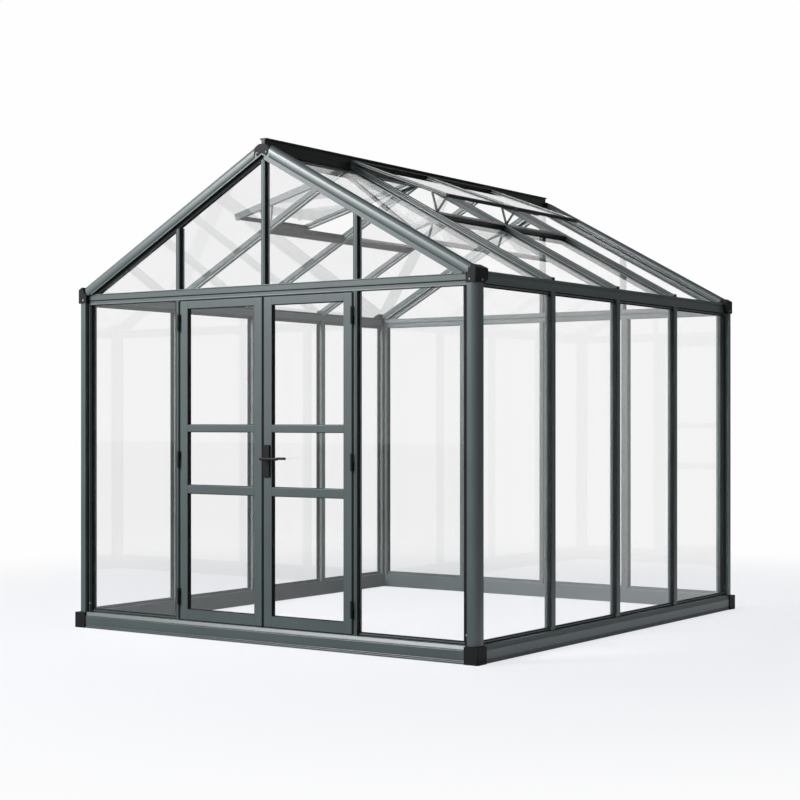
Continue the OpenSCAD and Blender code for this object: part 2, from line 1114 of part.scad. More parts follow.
// Lever on its spindle; the grip points away from the meeting stiles
module lever_handle() {
    neck = 30;
    neck_r = 9;
    lift = 0.5;
    grip = [lever_l, 14, 12];
    color(black)
        translate([lever_x, -wall_y, lever_z])
            rotate([90, 0, 0]) {
                cylinder(r = spindle_r, h = plate_t + neck);
                translate([0, 0, plate_t + lift])
                    cylinder(r = neck_r, h = neck - lift);
                translate([-neck_r, -grip[1] / 2, plate_t + neck - grip[2] / 3])
                    cube(grip);
            }
}

base_end_beams();
base_side_beams();
base_corner_blocks();
corner_posts();
front_jambs();
back_mullions();
left_mullions();
right_mullions();
tie_beams();
eave_beams();
bottom_glazing_rails();
top_glazing_rails();
front_barge_left();
front_barge_right();
back_barge_left();
back_barge_right();
gable_studs();
ridge_beam();
ridge_cap();
ridge_connectors();
eave_connectors();
rafters_left();
rafters_right();
vent_sills();
front_wall_panes();
back_wall_panes();
side_wall_panes();
gable_panes();
roof_panes_left();
roof_panes_right();
vent_side_bars();
vent_rails();
vent_panes();
vent_stays();
jamb_hinges();
left_door_stiles();
left_door_rails();
left_door_panes();
left_door_hinges();
right_door_stiles();
right_door_rails();
right_door_panes();
right_door_hinges();
lock_plate();
lever_handle();
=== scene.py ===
"""Garden greenhouse: finishes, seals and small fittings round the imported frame.

The door gable faces -Y and Z is up. Lengths are in metres, except in the classes that
say that their sizes are in millimetres.
"""

import logging
import math
from collections.abc import Callable, Iterable
from dataclasses import dataclass, field
from enum import Enum

import bmesh
import bpy
from mathutils import Matrix, Vector


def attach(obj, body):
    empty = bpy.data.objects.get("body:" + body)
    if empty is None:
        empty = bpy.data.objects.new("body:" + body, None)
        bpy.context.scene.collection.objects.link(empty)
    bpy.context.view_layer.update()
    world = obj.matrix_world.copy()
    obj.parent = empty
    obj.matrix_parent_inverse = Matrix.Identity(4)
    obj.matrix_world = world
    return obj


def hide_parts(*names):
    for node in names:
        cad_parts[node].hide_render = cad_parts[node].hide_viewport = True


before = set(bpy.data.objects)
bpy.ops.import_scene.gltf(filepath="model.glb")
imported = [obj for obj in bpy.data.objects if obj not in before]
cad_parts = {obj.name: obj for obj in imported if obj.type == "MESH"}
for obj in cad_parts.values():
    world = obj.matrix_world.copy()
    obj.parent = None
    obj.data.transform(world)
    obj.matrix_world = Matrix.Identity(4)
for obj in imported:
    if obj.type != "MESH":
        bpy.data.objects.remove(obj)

log = logging.getLogger("greenhouse")

MM = 0.001
SAME_PLACE = 0.01 * MM
SHARP_EDGE = math.radians(35)

# The roof: its pitch, where the tops of the barges' glazing channels would meet, and
# the places of the rafters along Y
PITCH = math.radians(28.5)
CHANNEL_TOP = 2550 * MM
RAFTER_PLACES = (-700 * MM, 0, 700 * MM)

# Sockets of a Mix node that mixes two colours, and of one that mixes two numbers
FACTOR = 0
COLOUR_A, COLOUR_B, COLOUR_OUT = 6, 7, 2
FLOAT_A, FLOAT_B, FLOAT_OUT = 2, 3, 0

# Settings of nodes
MIX_COLOURS = {"data_type": "RGBA"}
MIX_FLOATS = {"data_type": "FLOAT"}
SMOOTH = {"interpolation_type": "SMOOTHSTEP"}
PRODUCT = {"operation": "MULTIPLY"}
LARGER = {"operation": "MAXIMUM"}


class Body(Enum):
    """Bodies that a piece can ride on."""

    FRAME = "frame"
    LEFT_DOOR = "left_door"
    RIGHT_DOOR = "right_door"
    LEVER = "lever"


class Slot(Enum):
    """Material slots of the record."""

    FRAME = "frame_green"
    RIDGE = "ridge_black"
    MOULDED = "moulded_black"
    HARDWARE = "hardware_black"
    GLASS = "clear_glass"


# ---- Node helpers ----


def linear(hex_colour: str) -> tuple[float, float, float, float]:
    """Turn an sRGB hex colour into a linear one.

    Args:
        hex_colour: Colour such as "#40484a".

    Returns:
        Linear red, green, blue and an alpha of 1.
    """
    parts = [int(hex_colour[i : i + 2], 16) / 255 for i in (1, 3, 5)]
    red, green, blue = (
        c / 12.92 if c <= 0.04045 else ((c + 0.055) / 1.055) ** 2.4 for c in parts
    )
    return red, green, blue, 1.0


def add_node(
    tree: bpy.types.NodeTree,
    kind: str,
    settings: dict[str, object] | None = None,
    inputs: dict[str | int, object] | None = None,
) -> bpy.types.Node:
    """Add one node, with its settings, socket values and links.

    Args:
        tree: Node tree that gets the node.
        kind: Shader node type, such as "Bump".
        settings: Properties of the node itself.
        inputs: Value for each input socket; an output socket is linked instead.

    Returns:
        The new node.
    """
    node = tree.nodes.new(f"ShaderNode{kind}")
    for name, value in (settings or {}).items():
        setattr(node, name, value)
    for name, value in (inputs or {}).items():
        if isinstance(value, bpy.types.NodeSocket):
            tree.links.new(value, node.inputs[name])
        else:
            node.inputs[name].default_value = value
    return node


def span(kind: str, ends: tuple[float, float]) -> dict[str, float]:
    """Return both ends of a Map Range node's "From" or "To" as socket values."""
    return {f"{kind} Min": ends[0], f"{kind} Max": ends[1]}


def new_material(name: str) -> tuple[bpy.types.Material, bpy.types.NodeTree]:
    """Make an empty node material.

    Args:
        name: Name of the finish.

    Returns:
        The material and its node tree.
    """
    material = bpy.data.materials.new(name)
    material.use_nodes = True
    material.node_tree.nodes.clear()
    return material, material.node_tree


# ---- Finishes ----


@dataclass(frozen=True)
class SatinFinish:
    """A satin or dull surface with a fine even grain, such as baked powder coat."""

    name: str
    colour: str
    pale: str
    roughness: float = 0.4
    specular: float = 0.5
    grain: float = 5 * MM
    grain_height: float = 0.05 * MM
    grain_strength: float = 0.6
    drift: float = 350 * MM
    roughness_change: float = 0.05
    # Nearly all values of the noise lie in this range
    noise_range: tuple[float, float] = (0.3, 0.7)

    def material(self) -> bpy.types.Material:
        """Make the material: drifts of tone under a grain that breaks up highlights."""
        material, tree = new_material(self.name)
        place = add_node(tree, "TexCoord")
        # The surface is paler in broad drifts, where more of the coat settled
        drifts = add_node(
            tree,
            "TexNoise",
            inputs={
                "Vector": place.outputs["Object"],
                "Scale": 1 / self.drift,
                "Detail": 2.0,
            },
        )
        paler = add_node(
            tree,
            "MapRange",
            inputs={"Value": drifts.outputs["Fac"], **span("From", self.noise_range)},
        )
        colour = add_node(
            tree,
            "Mix",
            MIX_COLOURS,
            {
                FACTOR: paler.outputs["Result"],
                COLOUR_A: linear(self.colour),
                COLOUR_B: linear(self.pale),
            },
        )
        # The real grain is 1 to 2 mm across; it is drawn coarser, so that it shows
        grain = add_node(
            tree,
            "TexNoise",
            inputs={
                "Vector": place.outputs["Object"],
                "Scale": 1 / self.grain,
                "Detail": 3.0,
            },
        )
        bump = add_node(
            tree,
            "Bump",
            inputs={
                "Height": grain.outputs["Fac"],
                "Distance": self.grain_height,
                "Strength": self.grain_strength,
            },
        )
        roughness = add_node(
            tree,
            "MapRange",
            inputs={
                "Value": grain.outputs["Fac"],
                **span("From", self.noise_range),
                "To Min": self.roughness - self.roughness_change,
                "To Max": self.roughness + self.roughness_change,
            },
        )
        shader = add_node(
            tree,
            "BsdfPrincipled",
            inputs={
                "Base Color": colour.outputs[COLOUR_OUT],
                "Roughness": roughness.outputs["Result"],
                "Specular IOR Level": self.specular,
                "Normal": bump.outputs["Normal"],
            },
        )
        add_node(tree, "OutputMaterial", inputs={"Surface": shader.outputs["BSDF"]})
        return material


@dataclass(frozen=True)
class ClearGlass:
    """Toughened float glass, flat because it set on a bath of molten tin."""

    name: str = "Clear toughened glass"
    tint: str = "#f9f9f9"
    ior: float = 1.5

    def material(self) -> bpy.types.Material:
        """Make the material: clear with a neutral tint, and no shadow of its own."""
        material, tree = new_material(self.name)
        glass = add_node(
            tree,
            "BsdfPrincipled",
            inputs={
                "Base Color": linear(self.tint),
                "Roughness": 0.0,
                "IOR": self.ior,
                "Transmission Weight": 1.0,
            },
        )
        clear = add_node(tree, "BsdfTransparent", inputs={"Color": linear(self.tint)})
        path = add_node(tree, "LightPath")
        mixed = add_node(
            tree,
            "MixShader",
            inputs={
                0: path.outputs["Is Shadow Ray"],
                1: glass.outputs["BSDF"],
                2: clear.outputs["BSDF"],
            },
        )
        add_node(tree, "OutputMaterial", inputs={"Surface": mixed.outputs["Shader"]})
        return material


@dataclass(frozen=True)
class Palette:
    """Every finish of the greenhouse, made once."""

    # Extruded and powder coated: a satin film whose orange peel softens highlights
    frame_green: bpy.types.Material = field(
        default_factory=SatinFinish(
            "Powder coated aluminium, grey-green",
            "#414d4e",
            "#475354",
            specular=0.65,
        ).material
    )
    # The same coat in a matt near-black powder: the highlights are faint. It also
    # paints shade on the vent's stays, rails and sills
    ridge_black: bpy.types.Material = field(
        default_factory=SatinFinish(
            "Powder coated aluminium, near black", "#17191a", "#1c1f20", specular=0.3
        ).material
    )
    # Injection moulded in an etched tool: fine even grain and hardly any shine
    moulded_black: bpy.types.Material = field(
        default_factory=SatinFinish(
            "Moulded ABS, black",
            "#0f1011",
            "#131415",
            roughness=0.6,
            specular=0.2,
            grain=3 * MM,
            grain_height=0.03 * MM,
        ).material
    )
    # Stove enamel on steel: a thin hard film that shows the metal's smoothness
    hardware_black: bpy.types.Material = field(
        default_factory=SatinFinish(
            "Enamelled steel, black",
            "#0b0c0d",
            "#101112",
            roughness=0.45,
            specular=0.25,
            grain=8 * MM,
        ).material
    )
    # Extruded rubber: dull and dark, with a dusty bloom. It also paints shade in
    # channels, grooves and recesses
    seal_rubber: bpy.types.Material = field(
        default_factory=SatinFinish(
            "EPDM rubber, black",
            "#0e0f10",
            "#151617",
            roughness=0.75,
            specular=0.2,
            grain=4 * MM,
        ).material
    )
    # Zinc plate under a dull passivated film: pale grey with a soft shine
    zinc: bpy.types.Material = field(
        default_factory=SatinFinish(
            "Zinc plated steel", "#9aa0a2", "#a8aeb0", roughness=0.3, grain=2 * MM
        ).material
    )
    glass: bpy.types.Material = field(default_factory=ClearGlass().material)

    def for_slot(self, slot: Slot) -> bpy.types.Material:
        """Return the finish of a slot of the record."""
        return {
            Slot.FRAME: self.frame_green,
            Slot.RIDGE: self.ridge_black,
            Slot.MOULDED: self.moulded_black,
            Slot.HARDWARE: self.hardware_black,
            Slot.GLASS: self.glass,
        }[slot]


# ---- Mesh helpers ----


def finish_piece(
    name: str,
    mesh: bmesh.types.BMesh,
    material: bpy.types.Material,
    body: Body,
) -> bpy.types.Object:
    """Turn a bmesh into a piece that rides on a body.

    Args:
        name: Name of the piece.
        mesh: Its shape, which is used up.
        material: Its finish.
        body: Body that carries it.

    Returns:
        The new object.
    """
    bmesh.ops.remove_doubles(mesh, verts=mesh.verts, dist=SAME_PLACE)
    for face in mesh.faces:
        face.smooth = True
    for edge in mesh.edges:
        edge.smooth = edge.calc_face_angle(math.pi) < SHARP_EDGE
    data = bpy.data.meshes.new(name)
    mesh.to_mesh(data)
    mesh.free()
    data.materials.append(material)
    piece = bpy.data.objects.new(name, data)
    bpy.context.scene.collection.objects.link(piece)
    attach(piece, body.value)
    return piece


def rubber_piece(
    palette: Palette, name: str, mesh: bmesh.types.BMesh, body: Body = Body.FRAME
) -> None:
    """Turn a bmesh into a piece in the black rubber finish that rides on a body; some
    of these pieces are painted shade.
    """
    finish_piece(name, mesh, palette.seal_rubber, body)


def block(
    mesh: bmesh.types.BMesh,
    low: tuple[float, float, float],
    high: tuple[float, float, float],
) -> None:
    """Add a square-edged block.

    Args:
        mesh: Mesh that gets the block.
        low: Its lower corner, in millimetres.
        high: Its upper corner, in millimetres.
    """
    a, b = Vector(low) * MM, Vector(high) * MM
    size = Matrix.Diagonal((*(b - a), 1.0))
    bmesh.ops.create_cube(
        mesh, size=1.0, matrix=Matrix.Translation((a + b) / 2) @ size
    )


def merged(node: str) -> bmesh.types.BMesh:
    """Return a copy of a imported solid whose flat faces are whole.

    Args:
        node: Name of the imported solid.

    Returns:
        Its mesh, merged.
    """
    mesh = bmesh.new()
    mesh.from_mesh(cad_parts[node].data)
    bmesh.ops.remove_doubles(mesh, verts=mesh.verts, dist=SAME_PLACE)
    bmesh.ops.dissolve_limit(
        mesh,
        angle_limit=math.radians(1),
        use_dissolve_boundaries=False,
        verts=mesh.verts,
        edges=mesh.edges,
    )
    return mesh


def keep_faces(
    mesh: bmesh.types.BMesh, chosen: Callable[[bmesh.types.BMFace], bool]
) -> None:
    """Delete every face of a mesh but the chosen ones."""
    dropped = [face for face in mesh.faces if not chosen(face)]
    bmesh.ops.delete(mesh, geom=dropped, context="FACES")


def cut(
    mesh: bmesh.types.BMesh, place: Vector, direction: Vector, clear: bool = True
) -> None:
    """Cut a mesh along a plane.

    Args:
        mesh: Mesh that is cut.
        place: A point of the plane.
        direction: Direction in which the plane looks.
        clear: Drop what lies behind the plane.
    """
    bmesh.ops.bisect_plane(
        mesh,
        geom=[*mesh.verts, *mesh.edges, *mesh.faces],
        plane_co=place,
        plane_no=direction,
        clear_inner=clear,
    )


def thicken(mesh: bmesh.types.BMesh, thickness: float) -> None:
    """Turn faces taken from a solid into a strip that stands on them."""
    bmesh.ops.solidify(mesh, geom=list(mesh.faces), thickness=-thickness)
    bmesh.ops.recalc_face_normals(mesh, faces=mesh.faces)


def facing(direction: Vector, place: Vector) -> Matrix:
    """Return a transform that turns +Z to a direction and moves to a place."""
    turn = direction.to_track_quat("Z", "Y").to_matrix().to_4x4()
    return Matrix.Translation(place) @ turn


def slope(side: int, pitch: float = PITCH) -> tuple[Vector, Vector]:
    """Return the directions up from a slope and down along it.

    Args:
        side: 1 for the right-hand slope, -1 for the left-hand one.
        pitch: Pitch of the slope.

    Returns:
        Both directions.
    """
    up = Vector((side * math.sin(pitch), 0, math.cos(pitch)))
    down = Vector((side * math.cos(pitch), 0, -math.sin(pitch)))
    return up, down


# ---- Sub-assemblies ----


@dataclass
class FramePieces:
    """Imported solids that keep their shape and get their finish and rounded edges."""

    palette: Palette
    # Imported pieces that get the near-black finish though their neighbours are
    # grey-green: on the vent's stays, rails and sills it is painted shade; the ridge
    # beam gets it too
    blackened: tuple[str, ...] = (
        "ridge_beam",
        "vent_stays",
        "vent_rails",
        "vent_sills",
    )
    # Width of the rounding on each piece whose edges are seen to be round
    rounding: dict[str, float] = field(
        default_factory=lambda: {
            "eave_connectors": 10 * MM,
            "ridge_connectors": 3 * MM,
            "base_corner_blocks": 3 * MM,
            "base_end_beams": 1.4 * MM,
            "base_side_beams": 1.4 * MM,
            "tie_beams": 1.4 * MM,
            "front_jambs": 1.2 * MM,
            "gable_studs": 1.2 * MM,
            "left_door_stiles": 1.2 * MM,
            "right_door_stiles": 1.2 * MM,
            "left_door_rails": 1.2 * MM,
            "right_door_rails": 1.2 * MM,
            "ridge_cap": 2 * MM,
            "lock_plate": 2 * MM,
        }
    )

    def build(self) -> None:
        """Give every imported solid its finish, and round the edges of some."""
        slots = {slot.value: slot for slot in Slot}
        for name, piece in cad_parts.items():
            packed = piece.data.materials[0].name.split(".")[0]
            piece.material_slots[0].material = self.palette.for_slot(slots[packed])
            log.info("dressed %s", name)
        # The vent's stays, rails and sills take the near-black finish as painted shade
        for name in self.blackened:
            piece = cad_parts[name]
            piece.material_slots[0].material = self.palette.ridge_black
        for name, width in self.rounding.items():
            self.round_edges(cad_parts[name], width)

    def round_edges(self, piece: bpy.types.Object, width: float) -> None:
        """Round a solid's sharp edges, as its die or mould does.

        Args:
            piece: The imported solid.
            width: Width of the rounding.
        """
        weld = piece.modifiers.new("weld", "WELD")
        weld.merge_threshold = SAME_PLACE
        bevel = piece.modifiers.new("rounding", "BEVEL")
        bevel.limit_method = "ANGLE"
        bevel.angle_limit = SHARP_EDGE
        bevel.width = width
        bevel.segments = 2


@dataclass
class PaneSeals:
    """Rubber strips that run round each pane, between the glass and the bars."""

    palette: Palette
    # How far the panes reach into their bars, and how wide the strips are beside them
    grip: float = 7 * MM
    width: float = 5 * MM
    # How far the strips stand out from the glass, outdoors and indoors
    outer: float = 6 * MM
    inner: float = 4 * MM
    # The same for the thick gaskets beside the upright bars, and how far they stay
    # sunk in the bar and clear of the pane's two ends, in millimetres
    upright: float = 16 * MM
    sunk: float = 1
    end_gap: float = 11
    # Faces of a pane that are smaller are its edges, in square metres
    least_face: float = 0.02
    # Above this height outdoors lies upwards too
    eave: float = 1.8

    def strips(self, pane_node: str) -> bmesh.types.BMesh:
        """Shape the strips on both sides of every pane of a node.

        Args:
            pane_node: Name of the node that holds the panes.

        Returns:
            The strips.
        """
        mesh = merged(pane_node)
        keep_faces(mesh, lambda face: face.calc_area() > self.least_face)
        glass = list(mesh.faces)
        hidden = bmesh.ops.inset_individual(mesh, faces=glass, thickness=self.grip)
        shown = bmesh.ops.inset_individual(
            mesh, faces=glass, thickness=self.width, use_even_offset=True
        )
        bmesh.ops.delete(mesh, geom=hidden["faces"] + glass, context="FACES")
        raised = bmesh.ops.extrude_face_region(mesh, geom=shown["faces"])
        for vert in [v for v in raised["geom"] if isinstance(v, bmesh.types.BMVert)]:
            outdoors = Vector((*vert.co.xy, max(vert.co.z - self.eave, 0)))
            facing_out = vert.normal.dot(outdoors) > 0
            vert.co += vert.normal * (self.outer if facing_out else self.inner)
        bmesh.ops.delete(mesh, geom=shown["faces"], context="FACES")
        return mesh

    def uprights(self, pane_node: str) -> bmesh.types.BMesh:
        """Shape the thick gaskets that stand outside each wall pane, along its bars.

        Args:
            pane_node: Name of the node that holds the panes.

        Returns:
            The gaskets.
        """
        mesh = bmesh.new()
        panes = merged(pane_node)
        for face in panes.faces:
            middle = face.calc_center_median()
            facing_out = face.normal.dot(Vector((*middle.xy, 0))) >= 0
            if face.calc_area() <= self.least_face or not facing_out:
                continue
            low = Vector([min(v.co[i] for v in face.verts) for i in range(3)]) / MM
            high = Vector([max(v.co[i] for v in face.verts) for i in range(3)]) / MM
            through = 0 if abs(face.normal.x) > 0.5 else 1
            along = 1 - through
            reach = face.normal[through] * self.upright / MM
            for edge, way in ((low[along], 1), (high[along], -1)):
                start, end = low.copy(), high.copy()
                near = edge + way * (self.grip / MM - self.sunk)
                far = near + way * self.width / MM
                start[along], end[along] = sorted((near, far))
                start[through], end[through] = sorted(
                    (low[through], low[through] + reach)
                )
                start.z, end.z = low.z + self.end_gap, high.z - self.end_gap
                block(mesh, start, end)
        panes.free()
        return mesh

    def build(self, pane_node: str, body: Body = Body.FRAME) -> None:
        """Add the seals of one node of panes.

        Args:
            pane_node: Name of the node that holds the panes.
            body: Body that carries them.
        """
        seals = pane_node.replace("panes", "seals")
        rubber_piece(self.palette, seals, self.strips(pane_node), body)
        log.info("sealed %s", pane_node)

    def build_uprights(self, pane_node: str) -> None:
        """Add the thick upright gaskets of one wall's panes.

        Args:
            pane_node: Name of the node that holds the panes.
        """
        gaskets = pane_node.replace("panes", "gaskets")
        rubber_piece(self.palette, gaskets, self.uprights(pane_node))
        log.info("added the gaskets of %s", pane_node)


@dataclass
class ChannelStrips:
    """Black strips on the profiles: rubber gaskets, and linings of channels, grooves
    and recesses that are painted shade.
    """

    palette: Palette
    # The barges' glazing channel: its depth along Y, and its lining's thickness
    barge_depth: float = 1425 * MM
    barge_lining: float = 2 * MM
    line_width: float = 6 * MM
    # The recessed necks of the glazing rails, lined black as painted shade, from their
    # lower to their upper end
    neck_heights: tuple[tuple[float, float], ...] = (
        (88 * MM, 93 * MM),
        (1819 * MM, 1824 * MM),
    )
    neck_lining: float = 5 * MM
    # The lines on a corner post: their heights, and their near and far corners seen
    # from above, in millimetres
    post_z: tuple[float, float] = (88, 1811)
    post_lines: tuple[tuple[tuple[float, float], tuple[float, float]], ...] = (
        # The second and fourth lines lie in the grooves beside the tube; their black is
        # painted shade
        ((1257, 1428), (1268, 1429.2)),
        ((1276, 1426), (1283, 1428.4)),
        ((1320, 1365), (1321.2, 1376)),
        ((1318, 1384), (1320.4, 1391)),
    )
    # The black line in the recess of a tie beam, painted shade, in millimetres
    tie_x: float = 1277
    tie_y: tuple[float, float] = (1427, 1428)
    tie_z: tuple[float, float] = (1832, 1838)

    def in_barge(self, face: bmesh.types.BMFace) -> bool:
        """Tell whether a face is the outer face of a barge's glazing channel."""
        middle = face.calc_center_median()
        outwards = face.normal.y * middle.y > 0
        return outwards and abs(abs(middle.y) - self.barge_depth) < 0.5 * MM

    def along_barge(self, barge: str, whole: bool) -> None:
        """Line one barge's glazing channel with black; a lining of all of it is painted
        shade.

        Args:
            barge: Name of the barge.
            whole: True to line all of it, as painted shade, False for a line along its
                top.
        """
        mesh = merged(barge)
        keep_faces(mesh, self.in_barge)
        thicken(mesh, self.barge_lining)
        if not whole:
            up, _ = slope(1)
            cut(mesh, Vector((0, 0, CHANNEL_TOP - self.line_width / up.z)), up)
        rubber_piece(self.palette, f"{barge}_strip", mesh)
        log.info("lined %s", barge)

    def along_posts(self) -> None:
        """Add the wall gaskets on the post flanges, and the black strips in the grooves
        beside the tubes, which are painted shade.
        """
        mesh = bmesh.new()
        z0, z1 = self.post_z
        for x, y in ((1, 1), (1, -1), (-1, 1), (-1, -1)):
            for near, far in self.post_lines:
                x0, x1 = sorted((x * near[0], x * far[0]))
                y0, y1 = sorted((y * near[1], y * far[1]))
                block(mesh, (x0, y0, z0), (x1, y1, z1))
        rubber_piece(self.palette, "corner_post_strips", mesh)
        log.info("lined the corner posts")

    def along_ties(self) -> None:
        """Add the black strip that runs in the recess along the outer face of each tie
        beam, as painted shade.
        """
        mesh = bmesh.new()
        z0, z1 = self.tie_z
        for side in (-1, 1):
            y0, y1 = sorted(side * y for y in self.tie_y)
            block(mesh, (-self.tie_x, y0, z0), (self.tie_x, y1, z1))
        rubber_piece(self.palette, "tie_beam_strips", mesh)
        log.info("lined the tie beams")

    def in_neck(self, face: bmesh.types.BMFace) -> bool:
        """Tell whether a face is the outer side of a glazing rail's neck."""
        middle = face.calc_center_median()
        level = any(low < middle.z < high for low, high in self.neck_heights)
        return level and face.normal.xy.dot(middle.xy) > 0.1 * middle.xy.length

    def along_rails(self, rails: str, name: str) -> None:
        """Line the recessed necks of one node of glazing rails with black, as painted
        shade.

        Args:
            rails: Name of the node.
            name: Name of the piece.
        """
        mesh = merged(rails)
        keep_faces(mesh, self.in_neck)
        thicken(mesh, self.neck_lining)
        rubber_piece(self.palette, name, mesh)
        log.info("lined %s", rails)

    def build(self) -> None:
        """Add the strips of the barges, posts, ties and glazing rails."""
        # The left barges' channels lie in the shade of their tubes: their whole black
        # lining is painted shade
        for barge in ("front_barge_left", "back_barge_left"):
            self.along_barge(barge, whole=True)
        self.along_posts()
        self.along_ties()
        for barge in ("front_barge_right", "back_barge_right"):
            self.along_barge(barge, whole=False)
        self.along_rails("bottom_glazing_rails", "bottom_rail_strips")
        self.along_rails("top_glazing_rails", "top_rail_strips")


@dataclass
class BargeCovers:
    """Rounded covers clipped over the outer faces of the barges, in millimetres."""

    palette: Palette
    face_y: float = 1438
    # Middle of a cover above the glazing channel's top, and its half oval's size
    middle: float = 24
    half_height: float = 21
    depth: float = 4.5
    segments: int = 36
    # Longer than a slope; the ends are then cut upright
    length: float = 1600
    ends: tuple[float, float] = (50, 1285)

    def cover(self, side: int, way: int) -> bmesh.types.BMesh:
        """Shape one cover.

        Args:
            side: 1 for a right-hand slope, -1 for a left-hand one.
            way: 1 for the back gable, -1 for the front one.

        Returns:
            The cover.
        """
        up, down = slope(side)
        out = Vector((0, way, 0))
        centre = Vector((0, 0, CHANNEL_TOP))
        centre += (up * self.middle + out * self.face_y) * MM
        turn = Matrix((up * self.half_height, out * self.depth, down)).transposed()
        mesh = bmesh.new()
        bmesh.ops.create_circle(
            mesh,
            segments=self.segments,
            radius=MM,
            matrix=Matrix.Translation(centre) @ turn.to_4x4(),
        )
        cut(mesh, centre, out)
        raised = bmesh.ops.extrude_edge_only(mesh, edges=list(mesh.edges))
        bmesh.ops.translate(
            mesh,
            vec=down * self.length * MM,
            verts=[v for v in raised["geom"] if isinstance(v, bmesh.types.BMVert)],
        )
        for x, kept in zip(self.ends, (side, -side)):
            cut(mesh, Vector((side * x * MM, 0, 0)), Vector((kept, 0, 0)))
        bmesh.ops.recalc_face_normals(mesh, faces=mesh.faces)
        if sum((f.normal.y * way * f.calc_area() for f in mesh.faces), 0.0) < 0:
            bmesh.ops.reverse_faces(mesh, faces=mesh.faces)
        return mesh

    def build(self) -> None:
        """Add the four covers."""
        for gable, way in (("front", -1), ("back", 1)):
            for hand, side in (("left", -1), ("right", 1)):
                finish_piece(
                    f"{gable}_barge_{hand}_cover",
                    self.cover(side, way),
                    self.palette.frame_green,
                    Body.FRAME,
                )
        log.info("covered the barges")


@dataclass
class RafterStrips:
    """Rubber lines along the rafters and along the side bars of the vents."""

    palette: Palette
    # Middles of the lines: beside the middle of a bar's top, and down its sides
    top_offsets: tuple[float, ...] = (-6 * MM, 6 * MM)
    side_depths: tuple[float, ...] = (8 * MM, 17 * MM)
    width: float = 4 * MM
    thickness: float = 1 * MM
    start_x: float = 60 * MM
    vent_pitch: float = math.radians(20.4)

    def lines(
        self, node: str, side: int, pitch: float, on_top: bool
    ) -> bmesh.types.BMesh:
        """Shape the lines along the bars of one slope.

        Args:
            node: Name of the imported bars.
            side: 1 for the right-hand slope, -1 for the left-hand one.
            pitch: Pitch of the bars.
            on_top: True for the lines on their tops, False for their sides.

        Returns:
            The strips.
        """
        mesh = merged(node)
        up, _ = slope(side, pitch)
        top = max(up.dot(v.co) for v in mesh.verts if v.co.x * side > 0)
        if on_top:
            faced, across = up, Vector((0, 1, 0))
            middles = [y + o for y in RAFTER_PLACES for o in self.top_offsets]
        else:
            faced, across = Vector((0, 1, 0)), up
            middles = [top - depth for depth in self.side_depths]
        spans = [(m - self.width / 2, m + self.width / 2) for m in middles]
        keep_faces(mesh, lambda face: abs(face.normal.dot(faced)) > 0.999)
        for edge in (edge for span in spans for edge in span):
            cut(mesh, across * edge, across, clear=False)
        cut(mesh, Vector((side * self.start_x, 0, 0)), Vector((side, 0, 0)))
        cut(mesh, up * (top - self.side_depths[-1] - self.width), up)

        def in_line(face: bmesh.types.BMFace) -> bool:
            """Tell whether a face lies within one of the lines."""
            place = across.dot(face.calc_center_median())
            return any(low < place < high for low, high in spans)

        keep_faces(mesh, in_line)
        thicken(mesh, self.thickness)
        return mesh

    def build(self) -> None:
        """Add the lines on the rafters and on the right-hand vents."""
        for name, node, side, pitch in (
            ("rafter_left", "rafters_left", -1, PITCH),
            ("rafter_right", "rafters_right", 1, PITCH),
            ("vent_right", "vent_side_bars", 1, self.vent_pitch),
        ):
            for part, on_top in (("top", True), ("side", False)):
                mesh = self.lines(node, side, pitch, on_top)
                rubber_piece(self.palette, f"{name}_{part}_strips", mesh)
            log.info("lined %s", node)


@dataclass
class RafterCaps:
    """Moulded caps on the lower ends of the rafters, in millimetres."""

    palette: Palette
    end_x: float = 1316
    thickness: float = 6
    half_width: float = 13
    heights: tuple[float, float] = (1882, 1897)

    def build(self) -> None:
        """Add the caps as one piece."""
        mesh = bmesh.new()
        z0, z1 = self.heights
        for side in (-1, 1):
            x0, x1 = sorted((side * self.end_x, side * (self.end_x + self.thickness)))
            for y in (place / MM for place in RAFTER_PLACES):
                near, far = y - self.half_width, y + self.half_width
                block(mesh, (x0, near, z0), (x1, far, z1))
        finish_piece(
            "rafter_caps", mesh, self.palette.moulded_black, Body.FRAME
        )
        log.info("capped the rafters")


